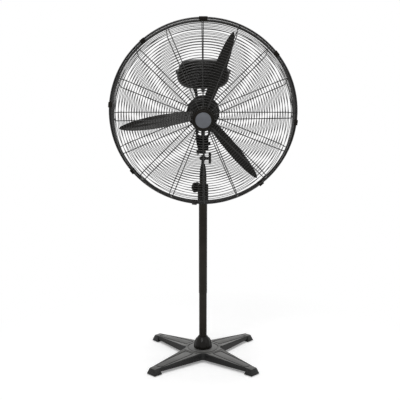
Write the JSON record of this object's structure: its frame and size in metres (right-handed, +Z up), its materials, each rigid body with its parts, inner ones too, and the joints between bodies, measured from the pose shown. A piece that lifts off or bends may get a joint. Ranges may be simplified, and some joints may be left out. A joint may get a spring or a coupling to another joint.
{
  "type": "pedestal fan",
  "caption": "Tall pedestal fan with wire guards, slim metal blades, a cross-shaped cast base and a sliding mast; the head tilts, swings and spins.",
  "frame": {"origin": "on the floor, under the pole axis, where the stand's feet rest", "axes": "+Z up along the pole, -Y the way the fan blows at rest, +X to the right of someone facing the fan"},
  "size_m": [0.8342, 0.5764, 1.5942],
  "materials": {
    "base_iron": "semi-gloss grey enamel over the casting, worn smooth",
    "foot_rubber": "moulded rubber",
    "black_enamel": "gloss black enamel",
    "pole_black": "gloss black enamel on steel tube",
    "zinc_steel": "bright zinc plate",
    "bronze_washer": "machined bronze",
    "black_plastic": "fine satin moulding",
    "grey_casting": "satin dark grey enamel on a casting",
    "motor_black": "satin black enamel on die-cast shells",
    "bearing_steel": "ground steel",
    "lamination_steel": "stacked laminations",
    "copper_winding": "enamelled copper wire",
    "gear_case": "die-cast, painted",
    "gear_nylon": "moulded nylon",
    "guard_wire": "gloss black powder coat on wire",
    "badge_grey": "plain satin grey disc",
    "blade_black": "satin black paint on pressed sheet",
    "housing_black": "glossy black moulding",
    "capacitor_case": "plain moulded case",
    "terminal_ivory": "moulded insulator"
  },
  "bodies": {
    "stand": {"base_casting": "base_iron", "foot_pads": "foot_rubber", "pole_socket": "black_enamel", "lower_pole": "pole_black", "centre_bolt": "zinc_steel", "upper_pole": "pole_black", "joint_screw": "zinc_steel", "mast_collar": "black_enamel", "collar_bush": "black_plastic"},
    "height_knob": {"height_knob": "black_plastic", "knob_stud": "zinc_steel"},
    "mast": {"mast_tube": "pole_black", "mast_nose": "grey_casting", "tilt_nut": "black_enamel"},
    "tilt_handle": {"tilt_handle": "black_enamel"},
    "tilt_head": {"tilt_bracket": "grey_casting", "pivot_pin": "zinc_steel", "thrust_washer": "bronze_washer", "link_stud": "zinc_steel"},
    "swing_head": {"yoke": "grey_casting", "pin_clamp_screw": "black_enamel", "motor_front_shell": "motor_black", "motor_rear_shell": "motor_black", "bearings": "bearing_steel", "stator_core": "lamination_steel", "stator_windings": "copper_winding", "gearbox_housing": "gear_case", "gearbox_cover": "gear_case", "gearbox_screws": "zinc_steel", "rear_guard": "guard_wire", "front_guard": "guard_wire", "rim_clips": "black_enamel", "clip_screws": "black_enamel", "guard_nut": "black_enamel", "badge_ring": "black_plastic", "badge_disc": "badge_grey", "badge_clamp": "black_enamel", "housing_struts": "grey_casting", "housing_bowl": "housing_black", "housing_lid": "housing_black", "housing_screws": "black_enamel", "capacitor": "capacitor_case", "terminal_block": "terminal_ivory", "speed_switch": "terminal_ivory", "cable_gland": "black_plastic"},
    "rotor": {"motor_shaft": "bearing_steel", "rotor_core": "lamination_steel", "worm": "bearing_steel", "blade_hub": "blade_black", "blade_1": "blade_black", "blade_2": "blade_black", "blade_3": "blade_black", "blade_rivets": "blade_black", "hub_nut": "zinc_steel"},
    "worm_wheel": {"worm_wheel": "gear_nylon"},
    "clutch_shaft": {"clutch_shaft": "bearing_steel"},
    "crank": {"crank": "bearing_steel"},
    "link": {"link_rod": "zinc_steel"},
    "clutch_knob": {"clutch_knob": "black_plastic"},
    "speed_knob": {"speed_knob": "black_plastic"}
  },
  "joints": [
    {"name": "height_knob_turn", "type": "hinge", "parent": "stand", "child": "height_knob", "pos_m": [0, 0, 0.822], "axis": [-0.7071, 0.7071, 0], "range_deg": [0, 360]},
    {"name": "mast_slide", "type": "slide", "parent": "stand", "child": "mast", "axis": [0, 0, 1], "range_m": [-0.08, 0.25]},
    {"name": "tilt_handle_turn", "type": "hinge", "parent": "mast", "child": "tilt_handle", "pos_m": [0, 0, 0.963], "axis": [1, 0, 0], "range_deg": [0, 170]},
    {"name": "tilt", "type": "hinge", "parent": "mast", "child": "tilt_head", "pos_m": [0, 0, 0.963], "axis": [1, 0, 0], "range_deg": [-26, 8]},
    {"name": "swing", "type": "hinge", "parent": "tilt_head", "child": "swing_head", "pos_m": [0, 0, 0.963], "axis": [0, -0.1045, 0.9945], "range_deg": [-38, 38]},
    {"name": "blade_spin", "type": "hinge", "parent": "swing_head", "child": "rotor", "pos_m": [0, -0.02373, 1.18876], "axis": [0, -0.9945, -0.1045], "continuous": true},
    {"name": "worm_wheel_spin", "type": "hinge", "parent": "swing_head", "child": "worm_wheel", "pos_m": [-0.02125, 0.04177, 0.96739], "axis": [0, -0.1045, 0.9945], "continuous": true},
    {"name": "clutch_shaft_turn", "type": "hinge", "parent": "swing_head", "child": "clutch_shaft", "pos_m": [-0.02125, 0.04177, 0.96739], "axis": [0, -0.1045, 0.9945], "range_deg": [-245, 245]},
    {"name": "crank_turn", "type": "hinge", "parent": "swing_head", "child": "crank", "pos_m": [0, 0.04177, 0.96739], "axis": [0, -0.1045, 0.9945], "range_deg": [-100, 100]},
    {"name": "link_turn", "type": "hinge", "parent": "tilt_head", "child": "link", "pos_m": [-0.024, 0, 0.963], "axis": [0, -0.1045, 0.9945], "range_deg": [-30.5, 30.5]},
    {"name": "clutch_slide", "type": "slide", "parent": "swing_head", "child": "clutch_knob", "axis": [0, -0.1045, 0.9945], "range_m": [-0.006, 0]},
    {"name": "speed_knob_turn", "type": "hinge", "parent": "swing_head", "child": "speed_knob", "pos_m": [0, 0.07452, 1.33985], "axis": [0, 0.9945, 0.1045], "range_deg": [0, 270]}
  ],
  "couplings": [
    {"joint": "worm_wheel_spin", "follows": "blade_spin", "ratio": -0.035714},
    {"joint": "crank_turn", "follows": "swing", "ratio": -2.5842},
    {"joint": "clutch_shaft_turn", "follows": "swing", "ratio": 6.2021},
    {"joint": "link_turn", "follows": "swing", "ratio": 0.7842}
  ]
}
